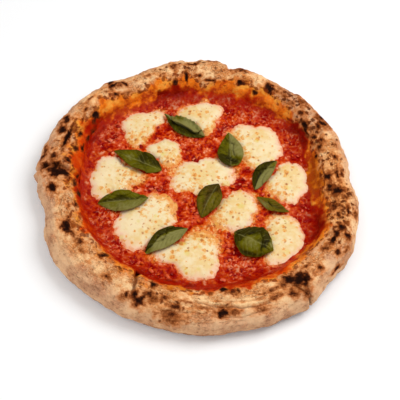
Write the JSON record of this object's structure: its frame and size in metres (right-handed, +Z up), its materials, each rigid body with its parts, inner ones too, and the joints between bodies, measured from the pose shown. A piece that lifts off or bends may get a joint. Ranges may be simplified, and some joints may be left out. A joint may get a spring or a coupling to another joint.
{
  "type": "margherita pizza",
  "caption": "Round baked pizza with a puffed, charred rim, tomato sauce, melted mozzarella patches and basil leaves, lying flat.",
  "frame": {"origin": "centre of the pizza's bounding box, at the level of its flat underside", "axes": "+Z up out of the topping, +Y away from the side that the usual view has nearest, +X to that view's right"},
  "size_m": [0.3027, 0.3021, 0.0334],
  "materials": {
    "dough": "baked wheat dough, dry and floury outside, with charred blisters and an oily inner wall",
    "sauce": "crushed tomato, wet and slightly chunky",
    "mozzarella": "melted cheese, soft sheen, small oil pits and orange edges",
    "basil": "wilted basil leaf, satin, with veins"
  },
  "bodies": {
    "root": {"dough": "dough", "sauce": "sauce", "mozzarella_01": "mozzarella", "mozzarella_02": "mozzarella", "mozzarella_03": "mozzarella", "mozzarella_04": "mozzarella", "mozzarella_05": "mozzarella", "mozzarella_06": "mozzarella", "mozzarella_07": "mozzarella", "mozzarella_08": "mozzarella", "mozzarella_09": "mozzarella", "mozzarella_10": "mozzarella", "mozzarella_11": "mozzarella", "basil_01": "basil", "basil_02": "basil", "basil_03": "basil", "basil_04": "basil", "basil_05": "basil", "basil_06": "basil", "basil_07": "basil", "basil_08": "basil", "basil_09": "basil"}
  },
  "joints": []
}
